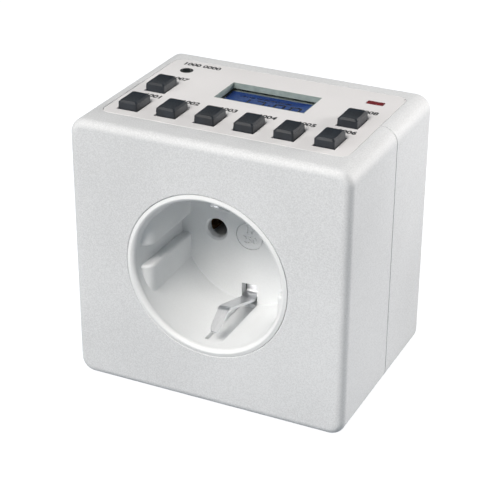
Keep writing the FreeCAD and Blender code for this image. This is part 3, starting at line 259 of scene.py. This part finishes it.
looks = {
    # ABS, injection moulded in a spark eroded mould: matt white with a fine speckle. The texture's pits are
    # about 0.1 mm wide and drawn at 0.32 mm, so that they show
    "casing_plastic": {"name": "mouldedAbsWhite", "dark": "CBCDCF", "light": "E5E7E9", "grainMm": 0.32,
                       "grainShare": 1.4, "cloudMm": 60, "roughness": 0.6, "roughVary": 0.08,
                       "bump": 0.7, "bumpMm": 0.035, "shader": {"IOR": 1.53}},
    # the same ABS from a smoother mould: matt, hardly any speckle, and a little lighter: painted light on
    # the top, which faces the lamps
    "panel_plastic": {"name": "mouldedAbsPanelPaintedLight", "dark": "DDDCDD", "light": "EAE9EA", "grainMm": 0.35,
                      "cloudMm": 24, "roughness": 0.58, "roughVary": 0.05, "bump": 0.2, "bumpMm": 0.02,
                      "shader": {"IOR": 1.53}},
    # PBT, moulded in a polished mould: the casing's white painted lighter, as painted light in the cup, and
    # smoother, so the cup's lip catches a highlight
    "socket_plastic": {"name": "mouldedPbtWhitePaintedLight", "dark": "E4E6E7", "light": "EEF0F1", "grainMm": 0.5,
                       "cloudMm": 20, "roughness": 0.42, "roughVary": 0.04, "bump": 0.08, "bumpMm": 0.015,
                       "shader": {"IOR": 1.54}},
    # ABS, moulded in dark grey and lightly textured: satin keys with a coarse speckle
    "key_plastic": {"name": "mouldedAbsKeyGrey", "dark": "0D1219", "light": "1A222B", "grainMm": 0.4,
                    "cloudMm": 3, "roughness": 0.5, "roughVary": 0.1, "bump": 0.5, "bumpMm": 0.03,
                    "shader": {"IOR": 1.53}},
    # nylon, moulded: dull black
    "switch_housing": {"name": "mouldedNylonBlack", "dark": "121212", "light": "1E1E1E", "grainMm": 0.3,
                       "cloudMm": 4, "roughness": 0.55, "roughVary": 0.05, "bump": 0.2, "bumpMm": 0.02},
    # acetal, moulded: black with a waxy sheen
    "switch_button": {"name": "mouldedAcetalBlack", "dark": "0E1210", "light": "1C2220", "grainMm": 0.3,
                      "cloudMm": 3, "roughness": 0.4, "roughVary": 0.05, "bump": 0.2, "bumpMm": 0.02},
    # acrylic, polished: almost clear, only its gloss shows
    "clear_window": {"name": "polishedAcrylic", "dark": "1C2024", "light": "2A2E32", "grainMm": 3.0,
                     "cloudMm": 12, "roughness": 0.06, "roughVary": 0.02, "bump": 0.02, "bumpMm": 0.01,
                     "shader": {"IOR": 1.49, "Alpha": 0.10}},
    # liquid crystal glass with a blue film behind: deep blue with faint mottling
    "display_glass": {"name": "displayGlassBlue", "dark": "223A84", "light": "3A62AE", "grainMm": 1.1,
                      "cloudMm": 9, "roughness": 0.18, "roughVary": 0.05, "bump": 0.05, "bumpMm": 0.01,
                      "shader": {"IOR": 1.52}},
    # ABS, moulded: a satin mid grey
    "display_frame": {"name": "mouldedAbsFrameGrey", "dark": "8E9698", "light": "A6AEB0", "grainMm": 0.4,
                      "cloudMm": 6, "roughness": 0.5, "roughVary": 0.05, "bump": 0.2, "bumpMm": 0.02},
    # silicone, cast in strips: pale pink, soft and dull
    "elastomer": {"name": "castSiliconePink", "dark": "D8B4BC", "light": "E8CCD0", "grainMm": 0.2,
                  "cloudMm": 5, "roughness": 0.6, "roughVary": 0.05, "bump": 0.1, "bumpMm": 0.02},
    # glass epoxy under green solder mask: woven look through a glossy film
    "circuit_board": {"name": "solderMaskGreen", "dark": "0F4A28", "light": "1C6A3A", "grainMm": 0.6,
                      "cloudMm": 8, "roughness": 0.35, "roughVary": 0.08, "bump": 0.25, "bumpMm": 0.03},
    # steel, zinc plated: light grey metal with an uneven gloss
    "screw_steel": {"name": "zincPlatedSteel", "dark": "9A9C9E", "light": "B8BABC", "grainMm": 0.25,
                    "cloudMm": 2, "roughness": 0.34, "roughVary": 0.08, "bump": 0.2, "bumpMm": 0.02,
                    "shader": {"Metallic": 1.0}},
    # polycarbonate, moulded in red: a glossy lens, dark while the lamp is off
    "lamp_lens": {"name": "tintedPolycarbonateRed", "dark": "5A060E", "light": "821018", "grainMm": 0.8,
                  "cloudMm": 2.5, "roughness": 0.2, "roughVary": 0.05, "bump": 0.1, "bumpMm": 0.02,
                  "shader": {"IOR": 1.58}},
    # epoxy, moulded round the chip: flat black with a sanded look
    "chip_resin": {"name": "mouldedEpoxyBlack", "dark": "101112", "light": "1C1D1F", "grainMm": 0.2,
                   "cloudMm": 4, "roughness": 0.6, "roughVary": 0.06, "bump": 0.3, "bumpMm": 0.02},
    # steel, drawn and nickel plated: bright, with faint drawing lines up its height
    "metal_can": {"name": "drawnNickelSteel", "dark": "A8AAAC", "light": "C4C6C8", "grainMm": 0.3,
                  "cloudMm": 4, "roughness": 0.3, "roughVary": 0.06, "bump": 0.12, "bumpMm": 0.02,
                  "stretch": (1.0, 1.0, 0.2), "shader": {"Metallic": 1.0}},
    # bronze strip, stamped and nickel plated: rolled lines along its length, bright flats
    "earth_metal": {"name": "nickelPlatedBronze", "dark": "CCCED0", "light": "ECEDEF", "grainMm": 0.25,
                    "cloudMm": 4, "roughness": 0.36, "roughVary": 0.06, "bump": 0.15, "bumpMm": 0.015,
                    "stretch": (1.0, 0.15, 0.3), "shader": {"Metallic": 1.0}},
    # brass, stamped from sheet and dulled by handling: brown gold with rolled lines
    "contact_brass": {"name": "stampedBrass", "dark": "6A4A26", "light": "94703C", "grainMm": 0.3,
                      "cloudMm": 3, "roughness": 0.3, "roughVary": 0.08, "bump": 0.15, "bumpMm": 0.02,
                      "stretch": (1.0, 0.2, 1.0), "shader": {"Metallic": 1.0}},
    # brass, turned and nickel plated: shiny pins with fine turning rings
    "pin_metal": {"name": "nickelPlatedBrass", "dark": "B8B6B0", "light": "D6D4CE", "grainMm": 0.3,
                  "cloudMm": 6, "roughness": 0.2, "roughVary": 0.05, "bump": 0.12, "bumpMm": 0.012,
                  "stretch": (0.1, 1.0, 0.1), "shader": {"Metallic": 1.0}},
    # phenolic resin, moulded: dark brown with a slightly glossy skin
    "carrier_resin": {"name": "mouldedPhenolicBrown", "dark": "3A2A20", "light": "54402F", "grainMm": 0.4,
                      "cloudMm": 5, "roughness": 0.5, "roughVary": 0.06, "bump": 0.2, "bumpMm": 0.03},
    # PBT, moulded: smooth dark blue
    "relay_plastic": {"name": "mouldedPbtBlue", "dark": "12244E", "light": "1E3670", "grainMm": 0.5,
                      "cloudMm": 6, "roughness": 0.35, "roughVary": 0.05, "bump": 0.12, "bumpMm": 0.02},
    # enamelled copper wire, wound: copper red, ribbed by its turns
    "coil_copper": {"name": "woundEnamelledCopper", "dark": "6E3418", "light": "A8582C", "grainMm": 0.25,
                    "cloudMm": 3, "roughness": 0.3, "roughVary": 0.08, "bump": 0.5, "bumpMm": 0.05,
                    "stretch": (0.1, 1.0, 0.1), "shader": {"Metallic": 1.0}},
    # soft iron, zinc plated: grey, duller than the screws
    "relay_iron": {"name": "zincPlatedIron", "dark": "8C8E90", "light": "A8AAAC", "grainMm": 0.3,
                   "cloudMm": 4, "roughness": 0.4, "roughVary": 0.06, "bump": 0.2, "bumpMm": 0.02,
                   "shader": {"Metallic": 1.0}},
    # PBT, moulded: a smooth yellow box
    "film_capacitor_case": {"name": "mouldedPbtYellow", "dark": "B08A1C", "light": "C8A22C", "grainMm": 0.5,
                            "cloudMm": 6, "roughness": 0.35, "roughVary": 0.05, "bump": 0.12,
                            "bumpMm": 0.02},
    # PVC sleeve, shrunk on: glossy and nearly black
    "capacitor_sleeve": {"name": "shrunkPvcBlack", "dark": "0C0C14", "light": "1A1A24", "grainMm": 0.5,
                         "cloudMm": 4, "roughness": 0.3, "roughVary": 0.05, "bump": 0.12, "bumpMm": 0.02},
    # epoxy, dipped: glossy blue and slightly lumpy
    "varistor_coat": {"name": "dippedEpoxyBlue", "dark": "14306E", "light": "20489A", "grainMm": 1.2,
                      "cloudMm": 4, "roughness": 0.3, "roughVary": 0.05, "bump": 0.3, "bumpMm": 0.06},
    # PVC, extruded over flat wires: grey, uneven at the wires' pitch of 1.27 mm
    "ribbon_jacket": {"name": "extrudedPvcGrey", "dark": "8C8C90", "light": "AAAAAE", "grainMm": 1.27,
                      "cloudMm": 5, "roughness": 0.5, "roughVary": 0.05, "bump": 0.4, "bumpMm": 0.08,
                      "stretch": (1.0, 0.1, 0.1)},
    # PVC, extruded: smooth brown
    "wire_jacket": {"name": "extrudedPvcBrown", "dark": "3C2210", "light": "56341C", "grainMm": 0.5,
                    "cloudMm": 4, "roughness": 0.4, "roughVary": 0.05, "bump": 0.15, "bumpMm": 0.02},
}

materials = {slotName: surfaceMaterial(look) for slotName, look in looks.items()}
for part in frame["record"]["subparts"]:
    shown = frame["nodes"][part["node"]]
    shown.data.materials.clear()
    shown.data.materials.append(materials[part["material_slot"]])
print("materials on", len(frame["nodes"]), "nodes")


def addPiece(name, mesh, material):
    # a piece of its own that stays with the casing
    mesh.name = name
    mesh.materials.clear()
    mesh.materials.append(material)
    piece = bpy.data.objects.new(name, mesh)
    scene.collection.objects.link(piece)
    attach(piece, "casing")


def centerOf(node):
    low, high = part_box(node)
    return [(low[axis] + high[axis]) / 2 / mm for axis in range(3)]


def topOf(node):
    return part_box(node)[1].z / mm


# Printed numbers beside the keys and the reset hole

# epoxy ink, pad printed: a dull film, nearly black; the same dark film is the painted shade at the reset
# hole's edge and down its wall
inkAndPaintedShade = surfaceMaterial({"name": "padPrintInkAndPaintedShadeBlack", "dark": "16181A", "light": "2A2D30",
                            "grainMm": 0.3, "cloudMm": 1.5, "roughness": 0.5, "roughVary": 0.08,
                            "bump": 0.2, "bumpMm": 0.01})
lettering = {"sizePerHeight": 1.4, "curveSteps": 3}  # the font's size over the height of its digits


def textPiece(name, words, center, turn, style, material):
    # flat text with its thickness, turned into a mesh and centred on a point
    curve = bpy.data.curves.new(name, "FONT")
    curve.body = words
    curve.align_x = "CENTER"
    curve.align_y = "CENTER"
    curve.size = style["height"] * mm * lettering["sizePerHeight"]
    curve.extrude = style["thickness"] * mm / 2
    curve.offset = style["bold"] * mm
    curve.resolution_u = lettering["curveSteps"]
    source = bpy.data.objects.new(name + "Source", curve)
    scene.collection.objects.link(source)
    bpy.context.view_layer.update()
    mesh = bpy.data.meshes.new_from_object(source.evaluated_get(bpy.context.evaluated_depsgraph_get()))
    bpy.data.objects.remove(source)
    mesh.transform(Matrix.Translation(Vector(center) * mm) @ turn.to_4x4())
    addPiece(name, mesh, material)


marks = {
    "height": 1.8, "thickness": 0.03, "bold": 0.08,
    "toRight": 1.3, "behind": 7.2,  # from a key's middle
    "keys": 8, "firstNumber": 1001,
    "resetNumber": "1000 0000", "resetPlace": (-24.0, 1.0),
}


def makeMarks(marks):
    height = topOf("top_panel") + marks["thickness"] / 2
    flat = Matrix.Identity(3)
    for key in range(1, marks["keys"] + 1):
        x, y, _ = centerOf("key_%d" % key)
        textPiece("number_%d" % key, str(marks["firstNumber"] + key - 1),
                  (x + marks["toRight"], y + marks["behind"], height), flat, marks, inkAndPaintedShade)
    textPiece("number_0", marks["resetNumber"], (*marks["resetPlace"], height), flat, marks, inkAndPaintedShade)


makeMarks(marks)
print("numbers printed")

# Thin trim on the panel: the lining of the display's opening, and painted shade at the reset hole: a dark
# ring round its edge and a dark sleeve down its wall

trim = {
    "paneOverlap": 1.4,  # the pane reaches this far under the panel on every side
    "linerWall": 0.22, "linerBelow": 0.03,
    "maskWidth": 1.3, "maskBelow": (0.08, 0.02),  # the mask lies between these depths under the pane
    "ring": (1.37, 1.75), "ringHeight": 0.03,  # inner and outer radius
    "sleeve": (1.24, 1.34), "sleeveGap": 0.05,
    "circleSides": 48,
}
# ABS, moulded in grey green: a satin edge round the display
linerPlastic = surfaceMaterial({"name": "mouldedAbsLinerGrey", "dark": "7E8C88", "light": "A2AEAA",
                                "grainMm": 0.3, "cloudMm": 2, "roughness": 0.5, "roughVary": 0.08,
                                "bump": 0.4, "bumpMm": 0.03})


def rectangle(x0, y0, x1, y1, grow=0.0):
    # corners of a rectangle, grown outward on every side
    x0, y0, x1, y1 = x0 - grow, y0 - grow, x1 + grow, y1 + grow
    return [(x0, y0), (x1, y0), (x1, y1), (x0, y1)]


def circle(x, y, radius, sides):
    turns = [2 * math.pi * side / sides for side in range(sides)]
    return [(x + radius * math.cos(turn), y + radius * math.sin(turn)) for turn in turns]


def ringBetween(name, inner, outer, z0, z1, material):
    # closed ring between two outlines of the same number of points, from z0 to z1, all in mm
    count = len(inner)
    vertices = [(x * mm, y * mm, z * mm)
                for z in (z0, z1) for outline in (inner, outer) for x, y in outline]
    lowIn, lowOut, highIn, highOut = (loop * count for loop in range(4))
    faces = []
    for here in range(count):
        there = (here + 1) % count
        faces.append((highIn + here, highOut + here, highOut + there, highIn + there))
        faces.append((lowIn + here, lowIn + there, lowOut + there, lowOut + here))
        faces.append((lowOut + here, lowOut + there, highOut + there, highOut + here))
        faces.append((lowIn + there, lowIn + here, highIn + here, highIn + there))
    mesh = bpy.data.meshes.new(name)
    mesh.from_pydata(vertices, [], faces)
    addPiece(name, mesh, material)


def makeDisplayTrim(trim):
    low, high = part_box("display_window")
    overlap = trim["paneOverlap"]
    opening = (low.x / mm + overlap, low.y / mm + overlap, high.x / mm - overlap, high.y / mm - overlap)
    edge = rectangle(*opening)
    ringBetween("window_liner", rectangle(*opening, -trim["linerWall"]), edge, high.z / mm,
                topOf("top_panel") - trim["linerBelow"], linerPlastic)
    deep, shallow = trim["maskBelow"]
    ringBetween("display_mask", edge, rectangle(*opening, trim["maskWidth"]), low.z / mm - deep,
                low.z / mm - shallow, linerPlastic)


def makeResetTrim(trim):
    x, y, _ = centerOf("reset_plunger")
    top = topOf("top_panel")
    inner, outer = (circle(x, y, radius, trim["circleSides"]) for radius in trim["ring"])
    # painted shade: a dark ring on the panel round the hole's edge
    ringBetween("reset_painted_shade_ring", inner, outer, top, top + trim["ringHeight"], inkAndPaintedShade)
    # painted shade: a dark sleeve above the plunger keeps the hole dark down its wall, where shade falls
    inner, outer = (circle(x, y, radius, trim["circleSides"]) for radius in trim["sleeve"])
    ringBetween("reset_painted_shade_sleeve", inner, outer, topOf("reset_plunger") + trim["sleeveGap"], top, inkAndPaintedShade)


makeDisplayTrim(trim)
makeResetTrim(trim)
print("trim made")

# Display segments

display = {
    "digits": "1200", "digitHeight": 5.6, "digitWidth": 3.0, "pitch": 4.3,
    "segment": 0.55, "segmentGap": 0.25,  # width of a bar, and the gap at its end as a share of that
    "colonGap": 1.2, "colonLevels": (0.3, 0.65),  # levels as shares of a digit's height
    "dashes": 7, "dashPitch": 2.0, "dashSize": (1.5, 0.5), "dashesAbove": 0.9,
    "down": 0.5,  # the row of digits sits this far below the window's middle
    "thickness": 0.03, "lift": 0.02,
}
# liquid crystal between glass plates: dark blue segments with a soft gloss
segmentInk = surfaceMaterial({"name": "liquidCrystalDark", "dark": "0C1230", "light": "141C44",
                              "grainMm": 0.5, "cloudMm": 3, "roughness": 0.25, "roughVary": 0.05,
                              "bump": 0.05, "bumpMm": 0.01})
segmentsOf = {"0": "abcdef", "1": "bc", "2": "abged"}


def segmentBars(digit, left, display):
    # the bars of one digit as (x0, x1, y0, y1), seen from the lower left corner of the row
    width, height, bar = display["digitWidth"], display["digitHeight"], display["segment"]
    gap = bar * display["segmentGap"]
    leftSide, between, rightSide = (0, bar), (bar, width - bar), (width - bar, width)
    upper, lower = (height / 2 + gap, height - gap), (gap, height / 2 - gap)
    bars = {
        "a": (*between, height - bar, height),
        "b": (*rightSide, *upper),
        "c": (*rightSide, *lower),
        "d": (*between, 0, bar),
        "e": (*leftSide, *lower),
        "f": (*leftSide, *upper),
        "g": (*between, (height - bar) / 2, (height + bar) / 2),
    }
    return [(left + x0, left + x1, y0, y1) for x0, x1, y0, y1 in (bars[name] for name in segmentsOf[digit])]


def displayBars(display):
    pitch, digitHeight, bar = display["pitch"], display["digitHeight"], display["segment"]
    width = pitch * 3 + display["digitWidth"] + display["colonGap"]
    bars = []
    for place, digit in enumerate(display["digits"]):
        left = -width / 2 + place * pitch + (display["colonGap"] if place > 1 else 0)
        bars += segmentBars(digit, left, display)
    colon = -width / 2 + 2 * pitch - (pitch - display["digitWidth"]) / 2 + display["colonGap"] / 2
    for level in display["colonLevels"]:
        bars.append((colon - bar / 2, colon + bar / 2, digitHeight * level, digitHeight * level + bar))
    dashLength, dashHeight = display["dashSize"]
    above = digitHeight + display["dashesAbove"]
    for dash in range(display["dashes"]):
        left = -width / 2 + dash * display["dashPitch"]
        bars.append((left, left + dashLength, above, above + dashHeight))
    return bars


def makeDisplay(display):
    x, y, _ = centerOf("display_window")
    base = y - display["digitHeight"] / 2 - display["down"]
    top = topOf("lcd_panel") + display["lift"]
    boxFaces = ((3, 2, 1, 0), (4, 5, 6, 7), (0, 1, 5, 4), (1, 2, 6, 5), (2, 3, 7, 6), (3, 0, 4, 7))
    vertices, faces = [], []
    for x0, x1, y0, y1 in displayBars(display):
        start = len(vertices)
        for z in (0, display["thickness"]):
            for across, up in rectangle(x0, y0, x1, y1):
                vertices.append(((x + across) * mm, (base + up) * mm, (top + z) * mm))
        faces += [[start + corner for corner in face] for face in boxFaces]
    mesh = bpy.data.meshes.new("display_segments")
    mesh.from_pydata(vertices, [], faces)
    addPiece("display_segments", mesh, segmentInk)


makeDisplay(display)
print("display drawn")

# Raised numbers on the disc in the socket's floor

disc = {
    "depth": 24.86, "middle": 36,  # behind the front face, and above the floor
    "rows": (("16", 1.5), ("250", -1.3)),  # number, and how far above the middle it stands
    "height": 2.0, "thickness": 0.3, "bold": 0.02,
}


def makeDiscNumbers(disc):
    facing = Matrix.Rotation(math.radians(90), 3, "X")
    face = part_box("front_housing")[0].y / mm + disc["depth"]
    for number, lift in disc["rows"]:
        textPiece("disc_number_" + number, number, (0, face, disc["middle"] + lift), facing, disc,
                  materials["socket_plastic"])


makeDiscNumbers(disc)
print("disc numbers raised")
